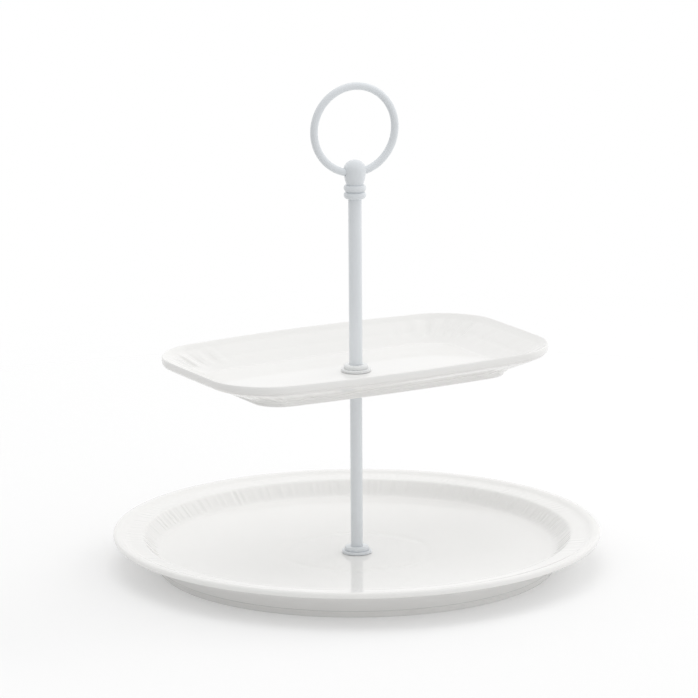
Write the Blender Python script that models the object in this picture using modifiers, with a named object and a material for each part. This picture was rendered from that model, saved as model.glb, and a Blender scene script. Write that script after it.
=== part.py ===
"""Two-tier cake stand: a round plate and an oblong tray of porcelain on a screwed metal stem.

The origin is the middle of the foot on the table, +Z is up and the tray's long side lies along X.
Every size is in metres. The pieces stack from the table up, and each height follows the one below.
"""

from math import asin, cos, pi, radians, sin, sqrt

import bmesh
import bpy
from mathutils import Matrix

# Round plate
PLATE_RADIUS = 0.1400
PLATE_HEIGHT = 0.0212
PLATE_RECESS = 0.0035  # from the table up to the underside, inside the foot
PLATE_THICKNESS = 0.0034  # floor, at the stem
PLATE_DISH = 0.0036  # rise of the floor from the stem to the foot of the wall
PLATE_RIM_WIDTH = 0.0165
PLATE_RIM_FALL = 0.0024  # from the crest down to the wall's shoulder
PLATE_WALL_RUN = 0.0085  # how far the wall leans out
PLATE_WALL_THICKNESS = 0.0042
WALL_FILLET = 0.0030  # where the floor turns up into the wall
WALL_FILLET_OUT = 0.0008
WALL_FILLET_UP = 0.0006
SHOULDER_IN = 0.0010  # where the wall turns out into the rim
SHOULDER_DOWN = 0.0008
SHOULDER_OUT = 0.0006
RIM_THICKNESS = 0.0032  # at the shoulder
RIM_UNDER_OUT = 0.0030
WALL_UNDER_DOWN = 0.0018  # from the floor to the outer side's lower corner
LIP_THICKNESS = 0.0034
LIP_FALL = 0.0003
FOOT_INSET = 0.0010  # from the foot of the wall in to the foot ring
FOOT_WIDTH = 0.0045
FOOT_STEP_HEIGHT = 0.0034
FOOT_STEP_WIDTH = 0.0018
FOOT_STEP_RISE = 0.0006
FOOT_DRAFT = 0.0012
FOOT_ROUND = 0.0006

# Oblong tray
TRAY_HALF_LENGTH = 0.1076
TRAY_HALF_WIDTH = 0.0650
TRAY_CORNER = 0.0290
TRAY_BOW_LONG = 0.0089  # how far the middle of a long side stands out
TRAY_BOW_SHORT = 0.0010
TRAY_DEPTH = 0.0129
TRAY_THICKNESS = 0.0030  # floor
TRAY_WALL_END_RUN = 0.0268  # how far the wall leans out at the ends
TRAY_WALL_SIDE_RUN = 0.0212  # and at the long sides
TRAY_EDGE = 0.0028  # thickness of the rim's edge
TRAY_FLOOR_CORNER = 0.0150
TRAY_FLOOR_BOW = 0.0030
TRAY_FOOT_HEIGHT = 0.0013
TRAY_FOOT_WIDTH = 0.0045

# Stem
HOLE_RADIUS = 0.0050  # through both porcelain pieces
LOWER_ROD_RADIUS = 0.0035
LOWER_ROD_LENGTH = 0.0980
UPPER_ROD_RADIUS = 0.00385
UPPER_ROD_LENGTH = 0.0963
STUD_RADIUS = 0.0024
FINIAL_STUD_RADIUS = 0.0020
TAPPED_DEPTH = 0.0110
FINIAL_TAPPED_DEPTH = 0.0100  # leaves metal under the ring's bore
STUD_END_ROOM = 0.0010  # between a stud's end and the bottom of its tapped hole
COLLAR_RADIUS = 0.0070
COLLAR_THICKNESS = 0.0021
COLLAR_ROUND = 0.0006
CUP_WASHER_RADIUS = 0.0086
CUP_WASHER_THICKNESS = 0.0009
GASKET_RADIUS = 0.0076
GASKET_THICKNESS = 0.0004
EDGE_ROUND = 0.0003

# Fastening under the plate and under the tray
BASE_GASKET_RADIUS = 0.0130
BASE_WASHER_RADIUS = 0.0115
BASE_WASHER_THICKNESS = 0.0008
SCREW_HEAD_RADIUS = 0.0080
SCREW_HEAD_THICKNESS = 0.0011
SCREW_SLOT_WIDTH = 0.0014
SCREW_SLOT_DEPTH = 0.0006
UNDER_WASHER_RADIUS = 0.0080
UNDER_WASHER_THICKNESS = 0.0010

# Finial and ring
BEAD_RADIUS = 0.0064
BEAD_HEIGHT = 0.0038
BEAD_GAP = 0.0003
BEAD_GROOVE_RADIUS = 0.0050
NECK_RADIUS = 0.0048
HEAD_RADIUS = 0.0064
HEAD_HEIGHT = 0.0144
HEAD_WIDEST = 0.0086  # above the neck
HEAD_BORE_HEIGHT = 0.0078  # above the neck
RING_RADIUS = 0.0249  # centreline
RING_STRAIGHT_ROOM = 0.0004  # from the head's side to where the wire starts to bend
WIRE_RADIUS = 0.0022
RING_TURN = radians(-6.5)  # about the stem, from the tray's long side

# Fits
SEAT_GAP = 0.0002  # between pieces clamped on each other
BORE_CLEARANCE = 0.0003  # round a stud, in its hole
SWING_CLEARANCE = 0.0003  # round the ring's wire in the head

# Heights that follow, from the table up
BASE_GASKET_BOTTOM = PLATE_RECESS - SEAT_GAP - GASKET_THICKNESS
BASE_WASHER_BOTTOM = BASE_GASKET_BOTTOM - SEAT_GAP - BASE_WASHER_THICKNESS
PLATE_FLOOR = PLATE_RECESS + PLATE_THICKNESS
LOWER_ROD_BOTTOM = (
    PLATE_FLOOR + 4 * SEAT_GAP + GASKET_THICKNESS + CUP_WASHER_THICKNESS + COLLAR_THICKNESS
)
LOWER_ROD_TOP = LOWER_ROD_BOTTOM + LOWER_ROD_LENGTH
UNDER_WASHER_BOTTOM = LOWER_ROD_TOP + SEAT_GAP
UNDER_GASKET_BOTTOM = UNDER_WASHER_BOTTOM + UNDER_WASHER_THICKNESS + SEAT_GAP
TRAY_UNDERSIDE = UNDER_GASKET_BOTTOM + GASKET_THICKNESS + SEAT_GAP
TRAY_FLOOR = TRAY_UNDERSIDE + TRAY_THICKNESS
UPPER_ROD_BOTTOM = (
    TRAY_FLOOR + 4 * SEAT_GAP + GASKET_THICKNESS + CUP_WASHER_THICKNESS + COLLAR_THICKNESS
)
UPPER_ROD_TOP = UPPER_ROD_BOTTOM + UPPER_ROD_LENGTH
FINIAL_BOTTOM = UPPER_ROD_TOP + SEAT_GAP
NECK_HEIGHT = FINIAL_BOTTOM + 2 * BEAD_HEIGHT + BEAD_GAP
HEAD_WIDEST_HEIGHT = NECK_HEIGHT + HEAD_WIDEST
SWING_HEIGHT = NECK_HEIGHT + HEAD_BORE_HEIGHT

# Radii that follow
WALL_SHOULDER_RADIUS = PLATE_RADIUS - PLATE_RIM_WIDTH
WALL_FOOT_RADIUS = WALL_SHOULDER_RADIUS - PLATE_WALL_RUN
FOOT_RADIUS = WALL_FOOT_RADIUS - FOOT_INSET
STUD_BORE = STUD_RADIUS + BORE_CLEARANCE
FINIAL_BORE = FINIAL_STUD_RADIUS + BORE_CLEARANCE

# Facets
PLATE_STEPS = 72
STEM_STEPS = 24
FINIAL_STEPS = 28
RING_STEPS = 48
WIRE_RESOLUTION = 3

parts = bpy.data.collections.new("Tiered_Cake_Stand")
cutters = bpy.data.collections.new("Cutters")


def clear_scene():
    for obj in list(bpy.data.objects):
        bpy.data.objects.remove(obj, do_unlink=True)
    bpy.context.scene.collection.children.link(parts)
    bpy.context.scene.collection.children.link(cutters)


def finish(name, colour, roughness, metallic=0.0):
    """A plain Principled material."""
    material = bpy.data.materials.new(name)
    material.use_nodes = True
    shader = material.node_tree.nodes["Principled BSDF"]
    shader.inputs["Base Color"].default_value = (*colour, 1.0)
    shader.inputs["Roughness"].default_value = roughness
    shader.inputs["Metallic"].default_value = metallic
    return material


def new_object(name, mesh, material):
    obj = bpy.data.objects.new(name, mesh)
    parts.objects.link(obj)
    mesh.materials.append(material)
    return obj


def turned(name, profile, steps, material):
    """A solid turned about Z. The profile runs down its outer side. It starts and ends on the
    axis, or closes on itself where none of its points is on the axis."""
    count = len(profile)
    edges = [(i, i + 1) for i in range(count - 1)]
    if min(radius for radius, _ in profile) > 0:
        edges.append((count - 1, 0))
    mesh = bpy.data.meshes.new(name)
    mesh.from_pydata([(radius, 0.0, height) for radius, height in profile], edges, [])
    obj = new_object(name, mesh, material)
    turn = obj.modifiers.new("Turn", "SCREW")
    turn.axis = "Z"
    turn.angle = 2 * pi
    turn.steps = turn.render_steps = steps
    turn.use_merge_vertices = True
    turn.merge_threshold = 0.00001
    turn.use_smooth_shade = True
    return obj


def arc(centre, radii, start, end, steps):
    """Points of an upright ellipse's arc, as radius and height, from one angle to another."""
    turns = [radians(start + (end - start) * i / steps) for i in range(steps + 1)]
    return [(centre[0] + radii[0] * cos(a), centre[1] + radii[1] * sin(a)) for a in turns]


def chamfered(radius, bottom, top, chamfer):
    """The outer side of a round piece, from its top down, with both corners cut off."""
    return [
        (radius - chamfer, top),
        (radius, top - chamfer),
        (radius, bottom + chamfer),
        (radius - chamfer, bottom),
    ]


def washer(name, radius, bottom, thickness, material, chamfer=0.0):
    """A flat ring with a hole for the stud. Without a chamfer its edges are square."""
    top = bottom + thickness
    side = chamfered(radius, bottom, top, chamfer) if chamfer else [(radius, top), (radius, bottom)]
    return turned(name, [(STUD_BORE, top), *side, (STUD_BORE, bottom)], STEM_STEPS, material)


def cut(obj, shape, name):
    """Cuts a bmesh's shape from an object, and frees the bmesh."""
    mesh = bpy.data.meshes.new(name)
    shape.to_mesh(mesh)
    shape.free()
    cutter = bpy.data.objects.new(name, mesh)
    cutters.objects.link(cutter)
    cutter.hide_render = True
    cutter.display_type = "WIRE"
    boolean = obj.modifiers.new("Cut", "BOOLEAN")
    boolean.operation = "DIFFERENCE"
    boolean.solver = "EXACT"
    boolean.object = cutter


def plate_floor_height(radius):
    """The floor is level round the stem and curves up towards the wall."""
    return PLATE_FLOOR + PLATE_DISH * (radius / WALL_FOOT_RADIUS) ** 3


def lower_plate(material):
    """A dished floor, a leaning wall, a flat rim with a round lip, and a ring foot."""
    shoulder_height = PLATE_HEIGHT - PLATE_RIM_FALL
    wall_bottom = plate_floor_height(WALL_FOOT_RADIUS)
    lip = LIP_THICKNESS / 2
    foot_inside = FOOT_RADIUS - FOOT_WIDTH
    floor_run = WALL_FOOT_RADIUS - WALL_FILLET - HOLE_RADIUS
    floor_radii = [HOLE_RADIUS + floor_run * i / 6 for i in range(7)]

    profile = [(radius, plate_floor_height(radius)) for radius in floor_radii]
    profile += [
        (WALL_FOOT_RADIUS + WALL_FILLET_OUT, wall_bottom + WALL_FILLET_UP),
        (WALL_SHOULDER_RADIUS - SHOULDER_IN, shoulder_height - SHOULDER_DOWN),
        (WALL_SHOULDER_RADIUS + SHOULDER_OUT, shoulder_height),
        (PLATE_RADIUS - LIP_THICKNESS, PLATE_HEIGHT - LIP_FALL),
    ]
    profile += arc((PLATE_RADIUS - lip, PLATE_HEIGHT - lip), (lip, lip), 70, -70, 4)
    profile += [
        (WALL_SHOULDER_RADIUS + RIM_UNDER_OUT, shoulder_height - RIM_THICKNESS),
        (WALL_FOOT_RADIUS + PLATE_WALL_THICKNESS, wall_bottom - WALL_UNDER_DOWN),
        (FOOT_RADIUS + FOOT_STEP_WIDTH, FOOT_STEP_HEIGHT + FOOT_STEP_RISE),
        (FOOT_RADIUS, FOOT_STEP_HEIGHT),
        (FOOT_RADIUS, FOOT_ROUND),
        (FOOT_RADIUS - FOOT_ROUND, 0.0),
        (foot_inside + FOOT_ROUND, 0.0),
        (foot_inside, FOOT_ROUND),
        (foot_inside - FOOT_DRAFT, PLATE_RECESS),
        (HOLE_RADIUS, PLATE_RECESS),
    ]
    return turned("lower_plate", profile, PLATE_STEPS, material)


def outline(half_length, half_width, corner, bow_long, bow_short, height):
    """A level rounded oblong with bowed sides, counter-clockwise from the middle of its +X end.
    Every outline has the same number of points, so that two of them can be joined."""
    corner_steps, half_long_steps, half_short_steps = 7, 4, 2
    side_x = half_length - bow_short - corner
    side_y = half_width - bow_long - corner
    reach_x, reach_y = side_x + corner, side_y + corner

    end = [(reach_x, side_y * i / half_short_steps) for i in range(half_short_steps)]
    turns = [pi / 2 * i / corner_steps for i in range(corner_steps + 1)]
    bend = [(side_x + corner * cos(turn), side_y + corner * sin(turn)) for turn in turns]
    side = [(side_x * (1 - i / half_long_steps), reach_y) for i in range(1, half_long_steps)]
    quarter = end + bend + side
    back = quarter + [(0.0, reach_y)] + [(-x, y) for x, y in reversed(quarter[1:])]
    front = [(-x, -y) for x, y in back]

    points = []
    for x, y in back + front:
        bowed_x = x + bow_short * (1 - (y / reach_y) ** 2) * x / reach_x
        bowed_y = y + bow_long * (1 - (x / reach_x) ** 2) * y / reach_y
        points.append((bowed_x, bowed_y, height))
    return points


def tray_loop(share, height, inward=0.0):
    """An outline between the rim's, at share 0, and the foot's, at share 1."""
    return outline(
        TRAY_HALF_LENGTH - TRAY_WALL_END_RUN * share - inward,
        TRAY_HALF_WIDTH - TRAY_WALL_SIDE_RUN * share - inward,
        TRAY_CORNER + (TRAY_FLOOR_CORNER - TRAY_CORNER) * share - inward / 2,
        TRAY_BOW_LONG + (TRAY_FLOOR_BOW - TRAY_BOW_LONG) * share,
        TRAY_BOW_SHORT * (1 - share),
        height,
    )


def upper_tray(material):
    """One skin, from the hole out over the floor and the rim, and back under the foot."""
    rim = TRAY_FLOOR + TRAY_DEPTH
    wall_middle = TRAY_FLOOR + TRAY_DEPTH / 2
    foot_bottom = TRAY_UNDERSIDE - TRAY_FOOT_HEIGHT
    edge = TRAY_EDGE
    hole = (HOLE_RADIUS, HOLE_RADIUS, HOLE_RADIUS, 0.0, 0.0)
    loops = [
        outline(*hole, TRAY_FLOOR),
        tray_loop(1.0, TRAY_FLOOR, edge / 2),
        tray_loop(0.93, TRAY_FLOOR + edge / 4),
        tray_loop(0.50, wall_middle),
        tray_loop(0.0, rim - 0.2 * edge, edge),
        tray_loop(0.0, rim, edge / 2),
        tray_loop(0.0, rim - 0.2 * edge, edge / 8),
        tray_loop(0.0, rim - 0.6 * edge),
        tray_loop(0.0, rim - edge, edge / 8),
        tray_loop(0.50, wall_middle - edge),
        tray_loop(0.95, TRAY_UNDERSIDE + 0.4 * TRAY_THICKNESS),
        tray_loop(1.0, TRAY_UNDERSIDE),
        tray_loop(1.0, foot_bottom + FOOT_ROUND, FOOT_ROUND / 3),
        tray_loop(1.0, foot_bottom, FOOT_ROUND),
        tray_loop(1.0, foot_bottom, TRAY_FOOT_WIDTH - FOOT_ROUND),
        tray_loop(1.0, foot_bottom + FOOT_ROUND, TRAY_FOOT_WIDTH),
        tray_loop(1.0, TRAY_UNDERSIDE, TRAY_FOOT_WIDTH + FOOT_ROUND),
        outline(*hole, TRAY_UNDERSIDE),
    ]
    return lofted("upper_tray", loops, material)


def lofted(name, loops, material):
    """A closed skin through loops of equally many points, the last joined to the first."""
    mesh = bpy.data.meshes.new(name)
    skin = bmesh.new()
    rings = [[skin.verts.new(point) for point in loop] for loop in loops]
    count = len(rings[0])
    for ring, next_ring in zip(rings, rings[1:] + rings[:1]):
        for i in range(count):
            after = (i + 1) % count
            skin.faces.new((ring[i], next_ring[i], next_ring[after], ring[after]))
    skin.to_mesh(mesh)
    skin.free()
    mesh.shade_smooth()
    mesh.set_sharp_from_angle(angle=radians(35))
    return new_object(name, mesh, material)


def tapped_rod(name, radius, bottom, top, top_bore, material):
    """A round rod with a blind hole in each end."""
    profile = [
        (0.0, top - TAPPED_DEPTH),
        (top_bore, top - TAPPED_DEPTH),
        (top_bore, top),
        *chamfered(radius, bottom, top, EDGE_ROUND),
        (STUD_BORE, bottom),
        (STUD_BORE, bottom + TAPPED_DEPTH),
        (0.0, bottom + TAPPED_DEPTH),
    ]
    return turned(name, profile, STEM_STEPS, material)


def stud(name, radius, lower_hole_bottom, upper_hole_top, material):
    """A plain stud between the ends of two tapped holes, with room at each end."""
    bottom = lower_hole_bottom + STUD_END_ROOM
    top = upper_hole_top - STUD_END_ROOM
    profile = [(0.0, top), *chamfered(radius, bottom, top, radius / 4), (0.0, bottom)]
    return turned(name, profile, STEM_STEPS, material)


def base_screw(material):
    """A flat slotted head under the plate, with its shank in the lower rod."""
    head_top = BASE_WASHER_BOTTOM - SEAT_GAP
    head_bottom = head_top - SCREW_HEAD_THICKNESS
    shank_top = LOWER_ROD_BOTTOM + TAPPED_DEPTH - STUD_END_ROOM
    chamfer = STUD_RADIUS / 4
    profile = [
        (0.0, shank_top),
        (STUD_RADIUS - chamfer, shank_top),
        (STUD_RADIUS, shank_top - chamfer),
        (STUD_RADIUS, head_top),
        *chamfered(SCREW_HEAD_RADIUS, head_bottom, head_top, EDGE_ROUND),
        (0.0, head_bottom),
    ]
    screw = turned("base_screw", profile, STEM_STEPS, material)

    slot = bmesh.new()
    bmesh.ops.create_cube(slot, size=1.0)
    size = (3 * SCREW_HEAD_RADIUS, SCREW_SLOT_WIDTH, 2 * SCREW_SLOT_DEPTH)
    bmesh.ops.scale(slot, vec=size, verts=slot.verts)
    bmesh.ops.translate(slot, vec=(0.0, 0.0, head_bottom), verts=slot.verts)
    cut(screw, slot, "screw_slot")
    return screw


def finial(material):
    """Two beads and an egg-shaped head, bored across for the ring and tapped from below."""
    lower_bead = (BEAD_GROOVE_RADIUS, FINIAL_BOTTOM + BEAD_HEIGHT / 2)
    upper_bead = (BEAD_GROOVE_RADIUS, lower_bead[1] + BEAD_HEIGHT + BEAD_GAP)
    bulge = (BEAD_RADIUS - BEAD_GROOVE_RADIUS, BEAD_HEIGHT / 2)
    dome_height = HEAD_HEIGHT - HEAD_WIDEST
    hole_top = FINIAL_BOTTOM + FINIAL_TAPPED_DEPTH

    profile = [(0.0, HEAD_WIDEST_HEIGHT + dome_height)]
    profile += arc((0.0, HEAD_WIDEST_HEIGHT), (HEAD_RADIUS, dome_height), 90, 0, 6)[1:]
    for share in (0.35, 0.7, 1.0):
        radius = HEAD_RADIUS - (HEAD_RADIUS - NECK_RADIUS) * share**2
        profile.append((radius, HEAD_WIDEST_HEIGHT - HEAD_WIDEST * share))
    profile += arc(upper_bead, bulge, 90, -90, 6)
    profile += arc(lower_bead, bulge, 90, -90, 6)
    profile += [(FINIAL_BORE, FINIAL_BOTTOM), (FINIAL_BORE, hole_top), (0.0, hole_top)]
    piece = turned("finial", profile, FINIAL_STEPS, material)

    bore = bmesh.new()
    bore_radius = WIRE_RADIUS + SWING_CLEARANCE
    lie_down = Matrix.Rotation(pi / 2, 4, "Y")
    place = Matrix.Translation((0.0, 0.0, SWING_HEIGHT)) @ Matrix.Rotation(RING_TURN, 4, "Z")
    bmesh.ops.create_cone(
        bore,
        cap_ends=True,
        segments=STEM_STEPS,
        radius1=bore_radius,
        radius2=bore_radius,
        depth=4 * HEAD_RADIUS,
        matrix=place @ lie_down,
    )
    cut(piece, bore, "head_bore")
    return piece


def ring_handle(material):
    """A closed wire ring, straight inside the head so that it turns in a close bore. Its empty
    sits on the axis that it swings about, along the straight stretch."""
    axle = bpy.data.objects.new("ring_axis", None)
    axle.location = (0.0, 0.0, SWING_HEIGHT)
    axle.rotation_euler = (0.0, 0.0, RING_TURN)
    parts.objects.link(axle)

    half_straight = HEAD_RADIUS + RING_STRAIGHT_ROOM
    start = asin(half_straight / RING_RADIUS)
    centre = sqrt(RING_RADIUS**2 - half_straight**2)
    turns = [start + (2 * pi - 2 * start) * i / RING_STEPS for i in range(RING_STEPS + 1)]
    line = bpy.data.curves.new("ring_handle", "CURVE")
    line.dimensions = "3D"
    line.bevel_depth = WIRE_RADIUS
    line.bevel_resolution = WIRE_RESOLUTION
    spline = line.splines.new("POLY")
    spline.points.add(len(turns) - 1)
    for point, turn in zip(spline.points, turns):
        point.co = (RING_RADIUS * sin(turn), 0.0, centre - RING_RADIUS * cos(turn), 1.0)
    spline.use_cyclic_u = True
    spline.use_smooth = True
    ring = new_object("ring_handle", line, material)
    ring.parent = axle
    return ring


def tier_collar(tier, floor, rubber, paint):
    """The gasket, cup washer and collar that press on a tier's floor."""
    cup_bottom = floor + 2 * SEAT_GAP + GASKET_THICKNESS
    collar_bottom = cup_bottom + CUP_WASHER_THICKNESS + SEAT_GAP
    washer(f"{tier}_gasket", GASKET_RADIUS, floor + SEAT_GAP, GASKET_THICKNESS, rubber)
    washer(
        f"{tier}_cup_washer", CUP_WASHER_RADIUS, cup_bottom, CUP_WASHER_THICKNESS, paint, EDGE_ROUND
    )
    washer(f"{tier}_collar", COLLAR_RADIUS, collar_bottom, COLLAR_THICKNESS, paint, COLLAR_ROUND)


def build():
    clear_scene()
    porcelain = finish("porcelain_glaze", (0.86, 0.86, 0.85), 0.08)
    paint = finish("stem_paint", (0.62, 0.66, 0.69), 0.35)
    rubber = finish("gasket_rubber", (0.80, 0.80, 0.78), 0.6)
    steel = finish("zinc_steel", (0.60, 0.61, 0.62), 0.35, 1.0)

    lower_plate(porcelain)
    washer("base_gasket", BASE_GASKET_RADIUS, BASE_GASKET_BOTTOM, GASKET_THICKNESS, rubber)
    washer(
        "base_washer",
        BASE_WASHER_RADIUS,
        BASE_WASHER_BOTTOM,
        BASE_WASHER_THICKNESS,
        steel,
        BASE_WASHER_THICKNESS / 3,
    )
    base_screw(steel)
    tier_collar("plate", PLATE_FLOOR, rubber, paint)
    tapped_rod("lower_rod", LOWER_ROD_RADIUS, LOWER_ROD_BOTTOM, LOWER_ROD_TOP, STUD_BORE, paint)

    washer(
        "tray_under_washer",
        UNDER_WASHER_RADIUS,
        UNDER_WASHER_BOTTOM,
        UNDER_WASHER_THICKNESS,
        paint,
        EDGE_ROUND,
    )
    washer("tray_under_gasket", GASKET_RADIUS, UNDER_GASKET_BOTTOM, GASKET_THICKNESS, rubber)
    upper_tray(porcelain)
    tier_collar("tray", TRAY_FLOOR, rubber, paint)
    lower_hole_bottom = LOWER_ROD_TOP - TAPPED_DEPTH
    upper_hole_top = UPPER_ROD_BOTTOM + TAPPED_DEPTH
    stud("joining_stud", STUD_RADIUS, lower_hole_bottom, upper_hole_top, steel)
    tapped_rod("upper_rod", UPPER_ROD_RADIUS, UPPER_ROD_BOTTOM, UPPER_ROD_TOP, FINIAL_BORE, paint)

    finial(paint)
    lower_hole_bottom = UPPER_ROD_TOP - TAPPED_DEPTH
    upper_hole_top = FINIAL_BOTTOM + FINIAL_TAPPED_DEPTH
    stud("finial_stud", FINIAL_STUD_RADIUS, lower_hole_bottom, upper_hole_top, steel)
    ring_handle(paint)


build()
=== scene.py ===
from math import asin, atan2, cos, exp, pi, radians, sin

import bmesh
import bpy
from bpy.props import FloatProperty, FloatVectorProperty, IntProperty, PointerProperty
from mathutils import Matrix, Vector, noise


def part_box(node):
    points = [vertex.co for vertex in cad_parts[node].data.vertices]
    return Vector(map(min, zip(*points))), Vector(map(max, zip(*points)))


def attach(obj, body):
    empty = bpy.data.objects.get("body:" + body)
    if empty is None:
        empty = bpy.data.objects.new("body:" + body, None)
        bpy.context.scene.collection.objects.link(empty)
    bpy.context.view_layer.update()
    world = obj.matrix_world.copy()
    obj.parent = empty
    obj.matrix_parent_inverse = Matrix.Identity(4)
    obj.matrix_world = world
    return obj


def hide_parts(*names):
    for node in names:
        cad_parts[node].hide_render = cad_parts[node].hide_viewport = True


bl_info = {
    "name": "Tiered Cake Stand",
    "version": (1, 0, 0),
    "blender": (4, 5, 0),
    "location": "3D Viewport > Sidebar > Cake Stand",
    "description": (
        "Builds a porcelain cake stand with a fluted plate, a pleated tray and a painted stem"
    ),
    "category": "Object",
}

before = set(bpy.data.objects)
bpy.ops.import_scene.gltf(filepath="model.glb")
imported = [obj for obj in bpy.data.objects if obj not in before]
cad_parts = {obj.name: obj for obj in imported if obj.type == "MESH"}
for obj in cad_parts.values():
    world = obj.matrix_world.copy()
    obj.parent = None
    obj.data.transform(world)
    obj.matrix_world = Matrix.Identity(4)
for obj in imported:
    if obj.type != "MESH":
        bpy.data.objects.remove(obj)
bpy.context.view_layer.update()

# The view: angles in degrees, lengths in metres, and the lens and its sensor in millimetres
VIEW_TURN = 29.7
VIEW_PITCH = 13.05
VIEW_ROLL = -0.35
VIEW_DISTANCE = 3.2
VIEW_ASIDE = -0.00387
VIEW_HEIGHT = 0.12697
VIEW_LENS = 289.09
VIEW_SENSOR = 36.0
VIEW_CLIP = (0.1, 50.0)

# How far clamped pieces reach over the gaps of the plain model
CLOSE = 0.00018

# The stem's hidden holes: how deep they are, and how much slimmer the finial's stud is
ROD_TAP = 0.011
FINIAL_TAP = 0.010
SLIMMER = 0.0004

# The skirt under each cup washer: how far it hangs, how thick it is, and its rounded corners
SKIRT = 0.0006
SKIRT_WALL = 0.0007
SKIRT_ROUND = 0.0001

# The cross bore of the finial: the room round the ring's wire, and the length that cuts it
BORE_ROOM = 0.00012
BORE_LENGTH = 0.03

# How finely the pieces are divided
PLATE_TURNS = 960
WASHER_TURNS = 96  # the finial's too
ROD_TURNS = 72
RING_SIDES = 28
RING_STEPS = 144
BORE_SIDES = 64

# The tray's walls: how they curve, and the depth of the crease round the inside
INNER_CURVE = 1.14
OUTER_CURVE = 0.92
WALL_CREASE = 0.00022

# Places down the tray's walls, as shares of the way from the rim to the floor
INNER_WALL = (0.93, 0.87, 0.80, 0.73, 0.66, 0.60, 0.55, 0.50, 0.44, 0.38, 0.32, 0.26, 0.20, 0.14)
OUTER_WALL = (0.06, 0.12, 0.20, 0.28, 0.36, 0.44, 0.52, 0.60, 0.68, 0.76, 0.83, 0.88, 0.905)

# The tray's lip, from the inside over the top to the outside. Each step is how far it lies below
# the rim and how far in from the edge, in edge thicknesses.
LIP = (
    (0.13, 0.42),
    (0.04, 0.30),
    (0.0, 0.20),
    (0.06, 0.10),
    (0.20, 0.03),
    (0.55, 0.0),
    (1.00, 0.03),
    (1.36, 0.08),
    (1.54, 0.18),
    (1.60, 0.36),
)
LIP_END = 1.64  # where the outer wall starts, below the rim

# The tray's hem, where the wall overhangs the foot. Each step is a place down the wall, a drop
# below the hem, an inset, a share of the pleats and a share of the hem's wave.
HEM_RISE = 0.0018  # from the underside up to the hem
HEM = (
    (0.918, 0.00003, 0.0, 0.20, 1.0),
    (0.925, 0.00016, 0.0, 0.18, 1.0),
    (0.929, 0.00034, 0.0, 0.16, 1.0),
    (0.936, 0.00048, 0.0, 0.12, 1.0),
    (0.965, 0.00052, 0.0, 0.08, 1.0),
    (1.0, 0.00060, 0.0001, 0.04, 0.8),
    (1.0, 0.00120, 0.0001, 0.0, 0.3),
    (1.0, 0.00200, 0.0001, 0.0, 0.0),
)

# The angle in degrees from which an edge is drawn sharp
PLATE_CREASE = 60
TRAY_CREASE = 55
FINIAL_CREASE = 50
PLAIN_CREASE = 40

# The light: each lamp has a name, a place, what it points at, a width and a power in watts
WORLD_LIGHT = 0.94
WORLD_DARK = 0.70  # how much darker the surround is behind the camera, to its left and below
DARK_SIDE = (0.9, 0.9, 0.8)  # how far the dark side lies to the front, to the left and down
DARK_FROM, DARK_TO = 0.05, 0.95  # where the surround starts to darken, and where it is darkest
FLOOR_LIFT = 0.205  # how much the white sweep glows to the camera
FLOOR_GLOW = 0.15  # and how much of that light it throws
FLOOR_HALF = 4.0  # half the floor's width in metres
FADE_FROM, FADE_TO = 0.20, 0.75  # where the floor starts to fade away, and where it is gone
LAMPS = (
    ("overhead", (-0.1, 0.0, 1.9), (0.0, 0.0, 0.1), 1.5, 4.5),
    ("right_side", (1.5, 0.2, 0.9), (0.0, 0.0, 0.1), 1.0, 4.0),
)


def size(name, description, default):
    return FloatProperty(
        name=name, description=description, default=default, unit="LENGTH", precision=4
    )


def colour(name, description, default):
    return FloatVectorProperty(
        name=name, description=description, default=default, subtype="COLOR", min=0, max=1
    )


class PlateSettings(bpy.types.PropertyGroup):
    rim_width: size("Rim width", "From the top of the wall out to the edge", 0.0165)
    rim_fall: size("Rim fall", "From the edge's crest down to the wall's shoulder", 0.0024)
    wall_run: size("Wall run", "How far the wall leans out", 0.0085)
    lip: size("Lip thickness", "Thickness of the rolled edge", 0.0034)
    thickness: size("Floor thickness", "Thickness of the floor at the stem", 0.0034)
    recess: size("Recess", "From the table up to the underside", 0.0035)
    dish: size("Dish", "Rise of the floor towards the wall", 0.0036)
    foot_width: size("Foot width", "Width of the ring foot", 0.0045)
    ring_mark: size("Ring mark", "Radius of the faint ring in the floor", 0.0420)
    wall_flute: size("Wall flute depth", "Depth of the flutes in the wall", 0.00022)
    rim_flute: size("Rim flute depth", "Depth of the short flutes on the rim", 0.00009)
    flutes: IntProperty(
        name="Flutes", description="How many flutes go round", default=135, min=24, max=200
    )


class TraySettings(bpy.types.PropertyGroup):
    corner: size("Corner radius", "Radius of the rim's corners", 0.0290)
    bow_long: size("Long side bow", "How far the middle of a long side stands out", 0.0089)
    bow_short: size("Short side bow", "How far the middle of an end stands out", 0.0010)
    end_run: size("End wall run", "How far the wall leans out at the ends", 0.0268)
    side_run: size("Side wall run", "How far the wall leans out at the long sides", 0.0212)
    floor_corner: size("Floor corner radius", "Radius of the floor's corners", 0.0150)
    floor_bow: size("Floor bow", "How far the floor's long sides stand out", 0.0030)
    thickness: size("Floor thickness", "Thickness of the floor", 0.0030)
    foot_height: size("Foot height", "How far the foot stands below the floor", 0.0013)
    foot_width: size("Foot width", "Width of the foot frame", 0.0045)
    edge: size("Edge thickness", "Thickness of the rim's edge", 0.0028)
    pleat: size("Pleat depth", "Depth of the pleats at the corners", 0.0013)
    hem: size("Hem wave", "How far the outer hem wanders up and down", 0.0007)


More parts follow.
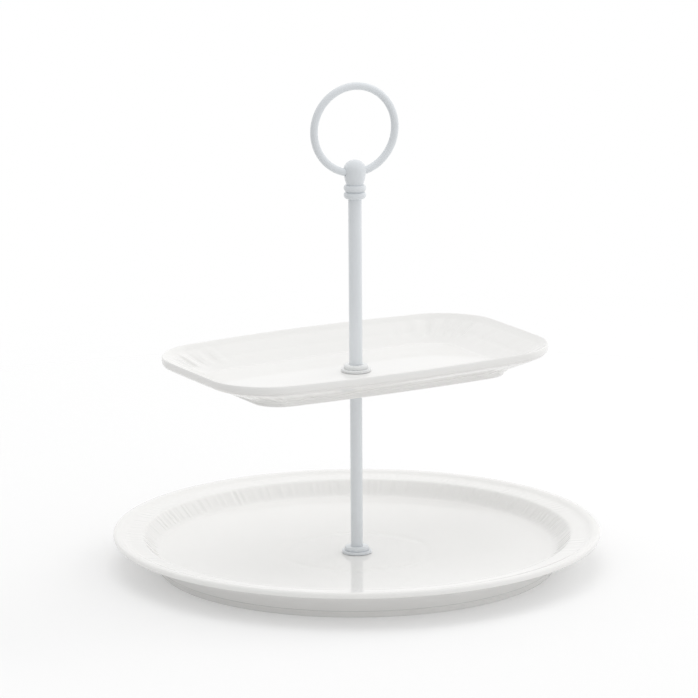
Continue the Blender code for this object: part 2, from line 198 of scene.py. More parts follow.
class StemSettings(bpy.types.PropertyGroup):
    bore: size("Bore", "Radius of the stud's hole in washers and rods", 0.0027)
    hole: size("Dish hole", "Radius of the hole through both dishes", 0.0050)
    wire: size("Ring wire", "Radius of the ring's wire", 0.0022)
    bead: size("Bead height", "Height of each bead of the finial", 0.0038)
    bead_gap: size("Bead gap", "Gap between the beads", 0.0003)
    groove: size("Groove radius", "Radius of the groove between the beads", 0.0050)
    neck: size("Neck radius", "Radius of the head's foot", 0.0048)
    head: size("Head radius", "Radius of the head at its widest", 0.0064)
    head_widest: size("Head's widest", "Height of the widest place above the neck", 0.0086)
    head_bore: size("Head's bore", "Height of the cross bore above the neck", 0.0078)
    ring_radius: size("Ring radius", "Radius of the ring's wire, to its middle", 0.0249)
    straight: size("Straight wire", "Half the ring's straight stretch in the head", 0.0068)
    ring_turn: FloatProperty(
        name="Ring turn",
        description="Turn of the ring about the stem",
        default=radians(-6.5),
        subtype="ANGLE",
    )


class FinishSettings(bpy.types.PropertyGroup):
    glaze: colour("Glaze", "Colour of the porcelain", (0.87, 0.865, 0.85))
    paint: colour("Stem paint", "Colour of the painted stem", (0.755, 0.785, 0.812))
    # The upper collar's tint is the stem paint made paler. This is painted light for the bounce
    # off the white tray, not a paint of its own.
    paint_lit_by_tray: colour("Upper collar", "Colour of the upper collar and washer", (0.80, 0.81, 0.81))
    rubber: colour("Gaskets", "Colour of the gaskets", (0.74, 0.74, 0.72))
    steel: colour("Steel", "Colour of the screws", (0.62, 0.62, 0.63))
    floor: colour("Floor", "Colour of the floor", (0.74, 0.74, 0.74))


def settings(group):
    return getattr(bpy.context.scene, "cake_stand_" + group)


# Materials


def node(tree, kind, **inputs):
    made = tree.nodes.new(kind)
    for name, value in inputs.items():
        made.inputs[name.replace("_", " ")].default_value = value
    return made


def surface(name, base, roughness, metallic=0.0, coat=0.0, ior=1.5):
    """A Principled material, with the values that are the same all over set on its sockets."""
    material = bpy.data.materials.new(name)
    material.use_nodes = True
    shader = material.node_tree.nodes["Principled BSDF"]
    shader.inputs["Base Color"].default_value = (*base, 1)
    shader.inputs["Roughness"].default_value = roughness
    shader.inputs["Metallic"].default_value = metallic
    shader.inputs["IOR"].default_value = ior
    shader.inputs["Coat Weight"].default_value = coat
    shader.inputs["Coat Roughness"].default_value = 0.08
    return material


def mottle(material, base, spread, scale):
    """Varies the colour a little over the surface."""
    tree = material.node_tree
    shader = tree.nodes["Principled BSDF"]
    place = tree.nodes.new("ShaderNodeTexCoord")
    cloud = node(tree, "ShaderNodeTexNoise", Scale=scale, Detail=3.0)
    ramp = tree.nodes.new("ShaderNodeValToRGB")
    ramp.color_ramp.elements[0].position = 0.3
    ramp.color_ramp.elements[1].position = 0.7
    ramp.color_ramp.elements[0].color = (*[c * (1 - spread) for c in base], 1)
    ramp.color_ramp.elements[1].color = (*[min(1, c * (1 + spread)) for c in base], 1)
    tree.links.new(place.outputs["Object"], cloud.inputs["Vector"])
    tree.links.new(cloud.outputs["Fac"], ramp.inputs["Fac"])
    tree.links.new(ramp.outputs["Color"], shader.inputs["Base Color"])


def ripple(material, scale, strength, distance, low, high):
    """A fine uneven surface, and a roughness that follows it."""
    tree = material.node_tree
    shader = tree.nodes["Principled BSDF"]
    place = tree.nodes.new("ShaderNodeTexCoord")
    grain = node(tree, "ShaderNodeTexNoise", Scale=scale, Detail=2.0)
    bump = node(tree, "ShaderNodeBump", Strength=strength, Distance=distance)
    span = node(tree, "ShaderNodeMapRange", To_Min=low, To_Max=high)
    tree.links.new(place.outputs["Object"], grain.inputs["Vector"])
    tree.links.new(grain.outputs["Fac"], bump.inputs["Height"])
    tree.links.new(grain.outputs["Fac"], span.inputs["Value"])
    tree.links.new(bump.outputs["Normal"], shader.inputs["Normal"])
    tree.links.new(span.outputs["Result"], shader.inputs["Roughness"])


def kept(name, make):
    return bpy.data.materials.get(name) or make(name)


def glaze():
    def make(name):
        tint = tuple(settings("finish").glaze)
        material = surface(name, tint, 0.05, ior=1.62)
        mottle(material, tint, 0.008, 14.0)
        ripple(material, 90.0, 0.04, 0.0003, 0.02, 0.05)
        return material

    return kept("glazed_porcelain", make)


def paint():
    def make(name):
        tint = tuple(settings("finish").paint)
        material = surface(name, tint, 0.30, coat=0.45)
        mottle(material, tint, 0.012, 60.0)
        ripple(material, 900.0, 0.05, 0.00004, 0.25, 0.34)
        return material

    return kept("satin_paint", make)


def tray_lit_paint():
    """The stem's paint made paler for the upper collar and washer. This is painted light, for the
    bright bounce off the white tray around them.
    """

    def make(name):
        tint = tuple(settings("finish").paint_lit_by_tray)
        material = surface(name, tint, 0.28, coat=0.5)
        mottle(material, tint, 0.012, 60.0)
        ripple(material, 900.0, 0.05, 0.00004, 0.24, 0.32)
        return material

    return kept("satin_paint_with_painted_tray_light", make)


def rubber():
    def make(name):
        tint = tuple(settings("finish").rubber)
        material = surface(name, tint, 0.55)
        ripple(material, 2500.0, 0.15, 0.00005, 0.5, 0.62)
        return material

    return kept("gasket_rubber", make)


def steel():
    def make(name):
        tint = tuple(settings("finish").steel)
        material = surface(name, tint, 0.32, metallic=1.0)
        ripple(material, 1400.0, 0.2, 0.00004, 0.26, 0.40)
        return material

    return kept("zinc_steel", make)


# Shapes


def rounded(corners, steps):
    """A path with its corners rounded off. A corner is its radius from the axis, its height and
    the length that its round takes from each side."""
    path = []
    for i, (radius, height, cut) in enumerate(corners):
        here = Vector((radius, height))
        if cut == 0 or i in (0, len(corners) - 1):
            path.append(here)
            continue
        before, after = Vector(corners[i - 1][:2]), Vector(corners[i + 1][:2])
        start = here + (before - here).normalized() * min(cut, (before - here).length * 0.49)
        end = here + (after - here).normalized() * min(cut, (after - here).length * 0.49)
        for k in range(steps + 1):
            t = k / steps
            path.append(start * (1 - t) ** 2 + here * 2 * t * (1 - t) + end * t * t)
    return path


def divided(path, longest):
    """The same path with points added. The longest step is given at each place along it."""
    out = [path[0]]
    for a, b in zip(path, path[1:]):
        count = max(1, int((b - a).length / longest((a + b) / 2) + 0.999))
        out += [a.lerp(b, k / count) for k in range(1, count + 1)]
    return out


def turned_mesh(path, steps, closed):
    """A bmesh of a path turned about Z, closed on itself or ending on the axis."""
    shape = bmesh.new()
    points = [shape.verts.new((p.x, 0, p.y)) for p in path]
    pairs = list(zip(points, points[1:])) + ([(points[-1], points[0])] if closed else [])
    edges = [shape.edges.new(pair) for pair in pairs]
    bmesh.ops.spin(
        shape,
        geom=points + edges,
        cent=(0, 0, 0),
        axis=(0, 0, 1),
        angle=2 * pi,
        steps=steps,
        use_merge=True,
        use_duplicate=False,
    )
    bmesh.ops.remove_doubles(shape, verts=shape.verts, dist=1e-7)
    bmesh.ops.recalc_face_normals(shape, faces=shape.faces)
    return shape


def finish_piece(shape, name, body, nodes, slot, material, crease=PLAIN_CREASE):
    """Makes the bmesh a piece that rides on its body and stands for its nodes."""
    mesh = bpy.data.meshes.new(name)
    shape.to_mesh(mesh)
    shape.free()
    mesh.shade_smooth()
    mesh.set_sharp_from_angle(angle=radians(crease))
    mesh.materials.append(material)
    piece = bpy.data.objects.new(name, mesh)
    bpy.context.scene.collection.objects.link(piece)
    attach(piece, body)
    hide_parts(*nodes)
    return piece


def ease(value, low, high):
    t = max(0.0, min(1.0, (value - low) / (high - low)))
    return t * t * (3 - 2 * t)


def between(value, low, high, soft):
    """1 inside a span and 0 outside it, with soft ends."""
    return ease(value, low - soft, low + soft) * (1 - ease(value, high - soft, high + soft))


def flute(turn, count):
    """Height of the flutes at an angle: uneven in width and depth, like paper pressed in folds."""
    around = Vector((cos(turn), sin(turn), 0))
    drift = noise.noise(around * 9.0) * 5.0 + noise.noise(around * 33.0) * 2.6
    depth = 0.62 + 1.3 * noise.noise(around * 13.0 + Vector((3, 1, 4)))
    return max(0.08, depth) * cos(turn * count + drift)


def gathers(turn):
    """How strongly the rim's flutes show at an angle: in groups, and not all the way round."""
    around = Vector((cos(turn), sin(turn), 0))
    return ease(noise.noise(around * 2.6 + Vector((2, 5, 1))), -0.05, 0.30)


# Operators


class CAKESTAND_OT_plate(bpy.types.Operator):
    """Build the round plate with its fluted wall and rim"""

    bl_idname = "cake_stand.plate"
    bl_label = "Round plate"

    def execute(self, context):
        plate, stem = settings("plate"), settings("stem")
        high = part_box("lower_plate")[1]
        radius, top = high.x, high.z
        shoulder = radius - plate.rim_width
        wall_foot = shoulder - plate.wall_run
        floor = plate.recess + plate.thickness
        ledge = top - plate.rim_fall
        foot = wall_foot - 0.0010
        foot_inside = foot - plate.foot_width

        def floor_height(r):
            ring_mark = 0.00018 * exp(-(((r - plate.ring_mark) / 0.0030) ** 2))
            return floor + plate.dish * (r / wall_foot) ** 3 - ring_mark

        radii = [stem.hole, 0.015, 0.027]
        radii += [plate.ring_mark + 0.0018 * k for k in range(-4, 5)]
        radii += [0.058, 0.070, 0.082, 0.094, 0.105]
        corners = [(r, floor_height(r), 0) for r in radii]
        corners += [
            (wall_foot, floor_height(wall_foot), 0.0026),
            (shoulder - 0.0004, ledge, 0.0012),
            (shoulder + 0.0090, ledge + 0.0008, 0.0030),
            (radius - 0.0042, top, 0.0016),
            (radius, top, 0.0014),
            (radius, top - plate.lip, 0.0015),
            (shoulder + 0.0026, ledge - 0.0034, 0.0030),
            (wall_foot + 0.0042, floor_height(wall_foot) - 0.0018, 0.0030),
            (foot + 0.0018, 0.0040, 0.0010),
            (foot, 0.0034, 0.0005),
            (foot, 0.0, 0.0006),
            (foot_inside, 0.0, 0.0006),
            (foot_inside - 0.0012, plate.recess, 0.0012),
            (stem.hole, plate.recess, 0),
        ]

        def longest(place):
            fluted = wall_foot < place.x < shoulder + 0.010 and place.y > ledge - 0.0090
            return 0.0018 if fluted else 0.03

        turns = [2 * pi * k / PLATE_TURNS for k in range(PLATE_TURNS)]
        wall_waves = [flute(turn, plate.flutes) for turn in turns]
        rim_waves = [wave * gathers(turn) for wave, turn in zip(wall_waves, turns)]
        slant = 0.7  # a flute stands square to the leaning wall
        rings = []
        inside = True
        for place in divided(rounded(corners, 3), longest):
            inside = inside and place.x < radius - 0.0001
            on_wall = inside * between(place.x, wall_foot + 0.0010, shoulder - 0.0010, 0.0010)
            on_rim = inside * between(place.x, shoulder + 0.0008, shoulder + 0.0080, 0.0006)
            ring = []
            for turn, wall_wave, rim_wave in zip(turns, wall_waves, rim_waves):
                move = plate.wall_flute * on_wall * wall_wave
                lift = plate.rim_flute * on_rim * rim_wave
                reach, height = place.x - slant * move, place.y + slant * move + lift
                ring.append(Vector((reach * cos(turn), reach * sin(turn), height)))
            rings.append(ring)
        shape = ringed_mesh(rings)
        stands_for = ["lower_plate"]
        finish_piece(
            shape, "fluted_plate", "stand", stands_for, "porcelain", glaze(), PLATE_CREASE
        )
        return {"FINISHED"}


def rim_points(half_length, half_width, corner, bow_long, bow_short):
    """A rounded oblong with bowed sides, counter-clockwise from the middle of its +X end. Each
    point comes with its place along its corner, from 0 to 1 on the bend and beyond it on the
    sides."""
    bend_steps, long_steps, short_steps = 64, 30, 14
    side_x = half_length - bow_short - corner
    side_y = half_width - bow_long - corner
    reach_x, reach_y = side_x + corner, side_y + corner
    along = corner * pi / 2
    quarter = [(reach_x, side_y * k / short_steps) for k in range(short_steps)]
    places = [(y - side_y) / along for _, y in quarter]
    for k in range(bend_steps + 1):
        turn = pi / 2 * k / bend_steps
        quarter.append((side_x + corner * cos(turn), side_y + corner * sin(turn)))
        places.append(k / bend_steps)
    for k in range(1, long_steps):
        quarter.append((side_x * (1 - k / long_steps), reach_y))
        places.append(1 + side_x * k / long_steps / along)
    back = quarter + [(0.0, reach_y)] + [(-x, y) for x, y in reversed(quarter[1:])]
    back_places = places + [9.0] + list(reversed(places[1:]))
    points = []
    for x, y in back + [(-x, -y) for x, y in back]:
        bowed_x = x + bow_short * (1 - (y / reach_y) ** 2) * x / reach_x
        bowed_y = y + bow_long * (1 - (x / reach_x) ** 2) * y / reach_y
        points.append(Vector((bowed_x, bowed_y, 0)))
    return points, back_places + back_places


def grown_from(vert, fresh):
    """The fresh vertex at the other end of one of this vertex's edges."""
    return next(o for o in (e.other_vert(vert) for e in vert.link_edges) if o in fresh)


def ringed_mesh(rings):
    """A closed skin: a circle is extruded from ring to ring, and its ends are bridged."""
    shape = bmesh.new()
    made = bmesh.ops.create_circle(shape, segments=len(rings[0]), radius=0.001)["verts"]
    ring = sorted(made, key=lambda v: atan2(v.co.y, v.co.x) % (2 * pi))
    for vert, point in zip(ring, rings[0]):
        vert.co = point
    first = edges = shape.edges[:]
    for points in rings[1:]:
        grown = bmesh.ops.extrude_edge_only(shape, edges=edges)["geom"]
        fresh = {g for g in grown if isinstance(g, bmesh.types.BMVert)}
        lines = [g for g in grown if isinstance(g, bmesh.types.BMEdge)]
        edges = [line for line in lines if all(v in fresh for v in line.verts)]
        ring = [grown_from(vert, fresh) for vert in ring]
        for vert, point in zip(ring, points):
            vert.co = point
    bmesh.ops.bridge_loops(shape, edges=first + edges)
    bmesh.ops.recalc_face_normals(shape, faces=shape.faces)
    return shape


class CAKESTAND_OT_tray(bpy.types.Operator):
    """Build the oblong tray with its pleated corners, outer hem and foot frame"""

    bl_idname = "cake_stand.tray"
    bl_label = "Oblong tray"

    def execute(self, context):
        tray, stem = settings("tray"), settings("stem")
        low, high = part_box("upper_tray")
        rim = high.z
        underside = low.z + tray.foot_height
        floor = underside + tray.thickness
        depth = rim - floor

        def outline(share, inward=0.0):
            return rim_points(
                high.x - tray.end_run * share - inward,
                high.y - tray.side_run * share - inward,
                tray.corner + (tray.floor_corner - tray.corner) * share - inward / 2,
                tray.bow_long + (tray.floor_bow - tray.bow_long) * share,
                tray.bow_short * (1 - share),
            )

        rim_line, places = outline(0.0)
        pleats, hem = [], []
        for point, place in zip(rim_line, places):
            seed = point.normalized() * 2.3
            gather = between(place, -0.35, 1.30, 0.22)
            drift = 2.6 * noise.noise(seed * 2.1 + Vector((7, 0, 0)))
            fold = 2 * pi * 4.2 * place + drift
            strength = 0.55 + 1.1 * noise.noise(seed * 3.0)
            pleats.append(gather * max(0.1, strength) * (sin(fold) + 0.30 * sin(2.3 * fold + 0.9)))
            wander = 0.8 * noise.noise(point * 30.0) + 0.9 * noise.noise(point * 75.0)
            hem.append(wander + 0.35 * gather * sin(fold * 0.8))

        outward, upward = 0.6, 0.8  # a pleat stands square to the leaning wall

        def ring(share, height, inward=0.0, pleat=0.0, hem_share=0.0):
            points, _ = outline(share, inward)
            out = []
            for point, wave, wander in zip(points, pleats, hem):
                away = point.normalized()
                lift = tray.pleat * pleat * wave
                x = point.x + away.x * lift * outward
                y = point.y + away.y * lift * outward
                z = height + upward * lift + tray.hem * hem_share * wander
                out.append(Vector((x, y, z)))
            return out

        turns = [atan2(p.y, p.x) for p in rim_line]

        def hole(height):
            raised = Vector((0, 0, height))
            return [Vector((cos(t), sin(t), 0)) * stem.hole + raised for t in turns]

        def blended(height, amount):
            """A ring part of the way from the hole to the floor's outline."""
            around, outer = hole(height), ring(1.0, height)
            return [a.lerp(b, amount) for a, b in zip(around, outer)]

        edge = tray.edge
        rings = [hole(floor)]
        rings += [blended(floor, amount) for amount in (0.15, 0.4, 0.7, 0.9)]
        rings += [ring(1.0, floor, 0.0012), ring(1.0, floor + 0.00003)]
        rings.append(ring(0.97, floor + 0.00022))
        for share in INNER_WALL:
            crease = WALL_CREASE * between(share, 0.52, 0.58, 0.06)
            height = floor + (depth - 0.12 * edge) * (1 - share) ** INNER_CURVE - crease
            rings.append(ring(share, height, pleat=between(share, 0.26, 0.66, 0.14)))
        rings += [ring(0.0, rim - drop * edge, inset * edge) for drop, inset in LIP]
        wall_top, hem_height = rim - LIP_END * edge, underside + HEM_RISE
        for share in OUTER_WALL:
            height = wall_top + (hem_height - wall_top) * share**OUTER_CURVE
            gathered = ease(share, 0.0, 0.40)
            follow = ease(share, 0.62, OUTER_WALL[-1])
            rings.append(ring(share, height, pleat=0.30 * gathered, hem_share=follow))
        for share, drop, inset, pleat, follow in HEM:
            rings.append(ring(share, hem_height - drop, inset, pleat, follow))
        foot_bottom = underside - tray.foot_height
        rings += [
            ring(1.0, foot_bottom + 0.0007, 0.0001),
            ring(1.0, foot_bottom + 0.0002, 0.0004),
            ring(1.0, foot_bottom, 0.0009),
            ring(1.0, foot_bottom, tray.foot_width - 0.0008),
            ring(1.0, foot_bottom + 0.0003, tray.foot_width - 0.0002),
            ring(1.0, underside, tray.foot_width + 0.0008),
        ]
        rings += [blended(underside, amount) for amount in (0.75, 0.4, 0.15)]
        rings.append(hole(underside))
        shape = ringed_mesh(rings)
        stands_for = ["upper_tray"]
        finish_piece(shape, "pleated_tray", "tray", stands_for, "porcelain", glaze(), TRAY_CREASE)
        return {"FINISHED"}


def washer_piece(name, node_name, body, slot, material, bore, round_off, reach=0.0, skirt=0.0):
    """A washer. It reaches down to the piece below it, and may have a skirt at its edge."""
    low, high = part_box(node_name)
    bottom = low.z - reach
    corners = [(bore, high.z, 0), (high.x, high.z, round_off)]
    if skirt:
        inner = high.x - SKIRT_WALL
        for place in ((high.x, low.z - skirt), (inner, low.z - skirt), (inner, bottom)):
            corners.append((*place, SKIRT_ROUND))
    else:
        corners += [(high.x, bottom, min(round_off, 0.0004))]
    corners += [(bore, bottom, 0)]
    shape = turned_mesh(rounded(corners, 4), WASHER_TURNS, True)
    finish_piece(shape, name, body, [node_name], slot, material)


def rod_piece(name, node_name, bore, top_bore):
    """A rod with a hole in each end, which reaches over the gaps at both."""
    low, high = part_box(node_name)
    top, bottom = high.z + CLOSE, low.z - CLOSE
    corners = [
        (0, high.z - ROD_TAP, 0),
        (top_bore, high.z - ROD_TAP, 0),
        (top_bore, top, 0),
        (high.x, top, 0.0001),
        (high.x, bottom, 0.0001),
        (bore, bottom, 0),
        (bore, low.z + ROD_TAP, 0),
        (0, low.z + ROD_TAP, 0),
    ]
    shape = turned_mesh(rounded(corners, 4), ROD_TURNS, False)
    finish_piece(shape, name, "stand", [node_name], "stem_paint", paint())


class CAKESTAND_OT_rods(bpy.types.Operator):
    """Build the two rods of the stem"""

    bl_idname = "cake_stand.rods"
    bl_label = "Rods"

    def execute(self, context):
        bore = settings("stem").bore
        rod_piece("lower_stem_rod", "lower_rod", bore, bore)
        rod_piece("upper_stem_rod", "upper_rod", bore, bore - SLIMMER)
        return {"FINISHED"}


class CAKESTAND_OT_collars(bpy.types.Operator):
    """Build the collars, washers and gaskets that clamp the two dishes"""

    bl_idname = "cake_stand.collars"
    bl_label = "Collars and washers"

    def execute(self, context):
        bore = settings("stem").bore
        # The tray's collar and washer take the paler copy of the stem paint. This is painted light
        # for the bounce off the white tray around them.
        for tier, make in (("plate", paint), ("tray", tray_lit_paint)):
            cup, collar = tier + "_cup_washer", tier + "_collar"
            look = ("stand", "stem_paint", make(), bore)
            washer_piece(tier + "_flange", cup, *look, round_off=0.0004, skirt=SKIRT)
            washer_piece(tier + "_boss", collar, *look, round_off=0.0010, reach=CLOSE)
        plain = (
            ("under_flange", "tray_under_washer", "stand", "stem_paint", paint, 0.0003),
            ("plate_seal", "plate_gasket", "stand", "gasket", rubber, 0.0001),
            ("tray_seal", "tray_gasket", "tray", "gasket", rubber, 0.0001),
            ("under_seal", "tray_under_gasket", "tray", "gasket", rubber, 0.0001),
            ("base_seal", "base_gasket", "stand", "gasket", rubber, 0.0001),
            ("base_plate_washer", "base_washer", "stand", "steel", steel, 0.0002),
        )
        for name, node_name, body, slot, make, round_off in plain:
            washer_piece(name, node_name, body, slot, make(), bore, round_off)
        return {"FINISHED"}


class CAKESTAND_OT_hardware(bpy.types.Operator):
    """Finish the screw and the studs, which keep their plain shapes"""

    bl_idname = "cake_stand.hardware"
    bl_label = "Screw and studs"

    def execute(self, context):
        for name in ("base_screw", "joining_stud", "finial_stud"):
            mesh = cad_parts[name].data
            mesh.materials.clear()
            mesh.materials.append(steel())
        return {"FINISHED"}


def neck_height():
    """Height of the finial's neck, above its two beads."""
    stem = settings("stem")
    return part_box("finial")[0].z + 2 * stem.bead + stem.bead_gap


class CAKESTAND_OT_finial(bpy.types.Operator):
    """Build the finial: two beads, a neck and an egg-shaped head with its cross bore"""

    bl_idname = "cake_stand.finial"
    bl_label = "Finial"

    def execute(self, context):
        stem = settings("stem")
        low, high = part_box("finial")
        bead_radius = high.x
        neck = neck_height()
        widest = neck + stem.head_widest
        dome = high.z - widest
        bore, tap = stem.bore - SLIMMER, low.z + FINIAL_TAP
        dome_steps, body_steps, bead_steps = 14, 8, 12
        path = [Vector((0, high.z))]
        for k in range(1, dome_steps + 1):
            turn = pi / 2 * (1 - k / dome_steps)
            path.append(Vector((stem.head * cos(turn), widest + dome * sin(turn))))
        for k in range(1, body_steps + 1):
            share = k / body_steps
            out = stem.head - (stem.head - stem.neck) * share**2
            path.append(Vector((out, widest - stem.head_widest * share)))
        for middle in (low.z + 1.5 * stem.bead + stem.bead_gap, low.z + 0.5 * stem.bead):
            for k in range(bead_steps + 1):
                turn = pi / 2 - pi * k / bead_steps
                out = stem.groove + (bead_radius - stem.groove) * cos(turn)
                path.append(Vector((out, middle + stem.bead / 2 * sin(turn))))
        path += [Vector((bore, low.z)), Vector((bore, tap)), Vector((0, tap))]
        shape = turned_mesh(path, WASHER_TURNS, False)
        stands_for = ["finial"]
        piece = finish_piece(
            shape, "acorn_finial", "stand", stands_for, "stem_paint", paint(), FINIAL_CREASE
        )

        swing = neck + stem.head_bore
        cutter_shape = bmesh.new()
        bmesh.ops.create_cone(
            cutter_shape,
            cap_ends=True,
            segments=BORE_SIDES,
            radius1=stem.wire + BORE_ROOM,
            radius2=stem.wire + BORE_ROOM,
            depth=BORE_LENGTH,
            matrix=Matrix.Translation((0, 0, swing))
            @ Matrix.Rotation(stem.ring_turn, 4, "Z")
            @ Matrix.Rotation(pi / 2, 4, "Y"),
        )
        mesh = bpy.data.meshes.new("bore")
        cutter_shape.to_mesh(mesh)
        cutter_shape.free()
        cutter = bpy.data.objects.new("bore", mesh)
        bpy.context.scene.collection.objects.link(cutter)
        cut = piece.modifiers.new("Bore", "BOOLEAN")
        cut.operation, cut.solver, cut.object = "DIFFERENCE", "EXACT", cutter
        bored = bpy.data.meshes.new_from_object(
            piece.evaluated_get(bpy.context.evaluated_depsgraph_get())
        )
        piece.modifiers.clear()
        piece.data = bored
        bored.shade_smooth()
        bored.set_sharp_from_angle(angle=radians(FINIAL_CREASE))
        bpy.data.objects.remove(cutter)
        return {"FINISHED"}


class CAKESTAND_OT_ring(bpy.types.Operator):
    """Build the carrying ring"""

    bl_idname = "cake_stand.ring"
    bl_label = "Ring"

    def execute(self, context):
        stem = settings("stem")
        swing = neck_height() + stem.head_bore
        start = asin(stem.straight / stem.ring_radius)
        centre = swing + (stem.ring_radius**2 - stem.straight**2) ** 0.5
        shape = bmesh.new()
        across = Matrix.Translation((stem.straight, 0, swing))
        lean = Matrix.Rotation(pi / 2 - start, 4, "Y")
        bmesh.ops.create_circle(
            shape, segments=RING_SIDES, radius=stem.wire, matrix=across @ lean
        )
        bmesh.ops.spin(
            shape,
            geom=shape.verts[:] + shape.edges[:],
            cent=(0, 0, centre),
            axis=(0, -1, 0),
            angle=2 * pi - 2 * start,
            steps=RING_STEPS,
        )
        ends = [e for e in shape.edges if len(e.link_faces) < 2]
        bmesh.ops.bridge_loops(shape, edges=ends)
        bmesh.ops.recalc_face_normals(shape, faces=shape.faces)
        bmesh.ops.rotate(
            shape,
            verts=shape.verts,
            cent=(0, 0, centre),
            matrix=Matrix.Rotation(stem.ring_turn, 3, "Z"),
        )
        finish_piece(shape, "carrying_ring", "ring", ["ring_handle"], "stem_paint", paint())
        return {"FINISHED"}


class CAKESTAND_OT_stage(bpy.types.Operator):
    """Set up the floor, the lights, the white surround and the camera"""

    bl_idname = "cake_stand.stage"
    bl_label = "Floor, lights and camera"

    def execute(self, context):
        scene = bpy.context.scene
        scene.view_settings.view_transform = "Standard"
        self.floor()
        self.surround(scene)
        self.lights()
        self.camera(scene)
        return {"FINISHED"}

    def floor(self):
        shape = bmesh.new()
        bmesh.ops.create_grid(shape, x_segments=1, y_segments=1, size=FLOOR_HALF)
        mesh = bpy.data.meshes.new("floor")
        shape.to_mesh(mesh)
        shape.free()
        floor = bpy.data.objects.new("floor", mesh)
        bpy.context.scene.collection.objects.link(floor)
        material = bpy.data.materials.new("floor_paper")
        material.use_nodes = True
        tree = material.node_tree
        tree.nodes.clear()
        end = tree.nodes.new("ShaderNodeOutputMaterial")
        paper = tree.nodes.new("ShaderNodeBsdfDiffuse")
        paper.inputs["Color"].default_value = (*settings("finish").floor, 1)
        glow = tree.nodes.new("ShaderNodeEmission")
        both = tree.nodes.new("ShaderNodeAddShader")
        rays = tree.nodes.new("ShaderNodeLightPath")
        lift = node(tree, "ShaderNodeMapRange", To_Min=FLOOR_GLOW, To_Max=FLOOR_LIFT)
        tree.links.new(rays.outputs["Is Camera Ray"], lift.inputs["Value"])
        tree.links.new(lift.outputs["Result"], glow.inputs["Strength"])
        tree.links.new(paper.outputs["BSDF"], both.inputs[0])
        tree.links.new(glow.outputs["Emission"], both.inputs[1])
        place = tree.nodes.new("ShaderNodeTexCoord")
        far = tree.nodes.new("ShaderNodeVectorMath")
        far.operation = "LENGTH"
        fade = node(tree, "ShaderNodeMapRange", From_Min=FADE_FROM, From_Max=FADE_TO)
        fade.interpolation_type = "SMOOTHSTEP"
        clear = tree.nodes.new("ShaderNodeBsdfTransparent")
        blend = tree.nodes.new("ShaderNodeMixShader")
        tree.links.new(place.outputs["Object"], far.inputs[0])
        tree.links.new(far.outputs["Value"], fade.inputs["Value"])
        tree.links.new(fade.outputs["Result"], blend.inputs["Fac"])
        tree.links.new(both.outputs["Shader"], blend.inputs[1])
        tree.links.new(clear.outputs["BSDF"], blend.inputs[2])
        tree.links.new(blend.outputs["Shader"], end.inputs["Surface"])
        mesh.materials.append(material)

    def surround(self, scene):
        world = bpy.data.worlds.new("white_surround")
        scene.world = world
        world.use_nodes = True
        tree = world.node_tree
        tree.nodes.clear()
        end = tree.nodes.new("ShaderNodeOutputWorld")
        lighting = node(tree, "ShaderNodeBackground", Color=(1, 1, 1, 1))
        place = tree.nodes.new("ShaderNodeTexCoord")
        side = tree.nodes.new("ShaderNodeVectorMath")
        side.operation = "DOT_PRODUCT"
        turn = radians(VIEW_TURN)
        left = Vector((-cos(turn), sin(turn), 0))
        front = Vector((-sin(turn), -cos(turn), 0))
        down = Vector((0, 0, -1))
        to_front, to_left, to_below = DARK_SIDE
        dark_side = to_front * front + to_left * left + to_below * down
        side.inputs[1].default_value = dark_side.normalized()
        shade = node(
            tree,
            "ShaderNodeMapRange",
            From_Min=DARK_FROM,
            From_Max=DARK_TO,
            To_Min=WORLD_LIGHT,
            To_Max=WORLD_LIGHT * (1 - WORLD_DARK),
        )
        tree.links.new(place.outputs["Generated"], side.inputs[0])
        tree.links.new(side.outputs["Value"], shade.inputs["Value"])
        tree.links.new(shade.outputs["Result"], lighting.inputs["Strength"])
        seen = node(tree, "ShaderNodeBackground", Color=(1, 1, 1, 1), Strength=1.0)
        rays = tree.nodes.new("ShaderNodeLightPath")
        direct = rays.outputs["Is Camera Ray"]
        for kind in ("Is Glossy Ray", "Is Transmission Ray"):
            either = tree.nodes.new("ShaderNodeMath")
            either.operation = "MAXIMUM"
            tree.links.new(direct, either.inputs[0])
            tree.links.new(rays.outputs[kind], either.inputs[1])
            direct = either.outputs["Value"]
        mix = tree.nodes.new("ShaderNodeMixShader")
        tree.links.new(direct, mix.inputs["Fac"])
        tree.links.new(lighting.outputs["Background"], mix.inputs[1])
        tree.links.new(seen.outputs["Background"], mix.inputs[2])
        tree.links.new(mix.outputs["Shader"], end.inputs["Surface"])

    def lights(self):
        for name, place, aim, width, energy in LAMPS:
            lamp = bpy.data.lights.new(name, "AREA")
            lamp.shape, lamp.size, lamp.energy = "DISK", width, energy
            obj = bpy.data.objects.new(name, lamp)
            obj.location = place
            obj.rotation_mode = "QUATERNION"
            obj.rotation_quaternion = (Vector(aim) - Vector(place)).to_track_quat("-Z", "Y")
            obj.visible_glossy = False
            bpy.context.scene.collection.objects.link(obj)

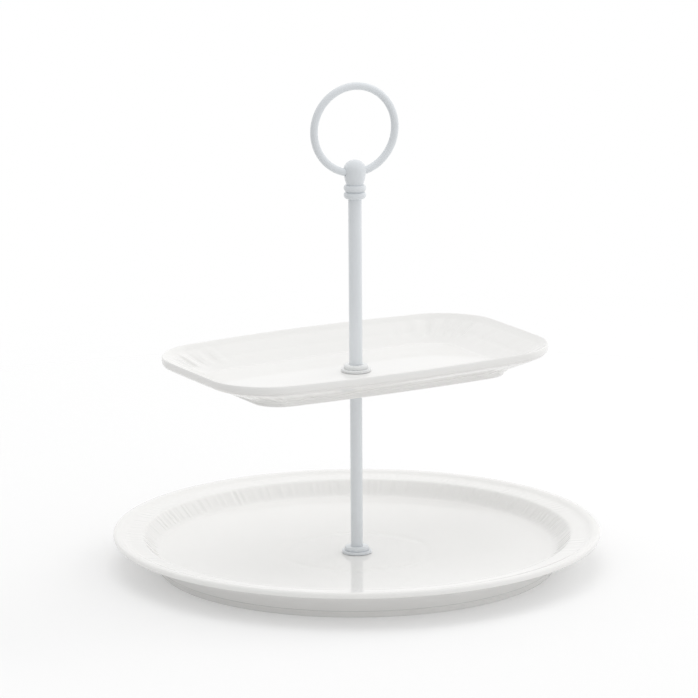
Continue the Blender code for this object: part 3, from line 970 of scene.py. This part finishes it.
    def camera(self, scene):
        turn, pitch, roll = radians(VIEW_TURN), radians(VIEW_PITCH), radians(VIEW_ROLL)
        right = Vector((cos(turn), -sin(turn), 0))
        ahead = Vector((cos(pitch) * sin(turn), cos(pitch) * cos(turn), -sin(pitch)))
        up = right.cross(ahead)
        tilted_right = right * cos(roll) + up * sin(roll)
        tilted_up = up * cos(roll) - right * sin(roll)
        place = right * VIEW_ASIDE + Vector((0, 0, VIEW_HEIGHT)) - ahead * VIEW_DISTANCE
        data = bpy.data.cameras.new("camera")
        data.sensor_width, data.lens = VIEW_SENSOR, VIEW_LENS
        data.clip_start, data.clip_end = VIEW_CLIP
        camera = bpy.data.objects.new("camera", data)
        turned = Matrix((tilted_right, tilted_up, -ahead)).transposed()
        camera.matrix_world = Matrix.Translation(place) @ turned.to_4x4()
        scene.collection.objects.link(camera)
        scene.camera = camera


class CAKESTAND_PT_panel(bpy.types.Panel):
    """The cake stand's pieces and sizes"""

    bl_idname = "CAKESTAND_PT_panel"
    bl_label = "Tiered Cake Stand"
    bl_space_type = "VIEW_3D"
    bl_region_type = "UI"
    bl_category = "Cake Stand"

    def draw(self, context):
        for operator in OPERATORS:
            self.layout.operator(operator.bl_idname)
        for group, kind in GROUPS.items():
            box = self.layout.box()
            box.label(text=group.title())
            for name in kind.__annotations__:
                box.prop(settings(group), name)


GROUPS = {
    "plate": PlateSettings,
    "tray": TraySettings,
    "stem": StemSettings,
    "finish": FinishSettings,
}
OPERATORS = (
    CAKESTAND_OT_plate,
    CAKESTAND_OT_tray,
    CAKESTAND_OT_rods,
    CAKESTAND_OT_collars,
    CAKESTAND_OT_hardware,
    CAKESTAND_OT_finial,
    CAKESTAND_OT_ring,
    CAKESTAND_OT_stage,
)


def register():
    for kind in (*GROUPS.values(), *OPERATORS, CAKESTAND_PT_panel):
        bpy.utils.register_class(kind)
    for group, kind in GROUPS.items():
        setattr(bpy.types.Scene, "cake_stand_" + group, PointerProperty(type=kind))


def unregister():
    for group in GROUPS:
        delattr(bpy.types.Scene, "cake_stand_" + group)
    for kind in reversed((*GROUPS.values(), *OPERATORS, CAKESTAND_PT_panel)):
        bpy.utils.unregister_class(kind)


def main():
    register()
    bpy.ops.cake_stand.plate()
    bpy.ops.cake_stand.tray()
    bpy.ops.cake_stand.rods()
    bpy.ops.cake_stand.collars()
    bpy.ops.cake_stand.hardware()
    bpy.ops.cake_stand.finial()
    bpy.ops.cake_stand.ring()
    bpy.ops.cake_stand.stage()


if __name__ == "__main__":
    main()
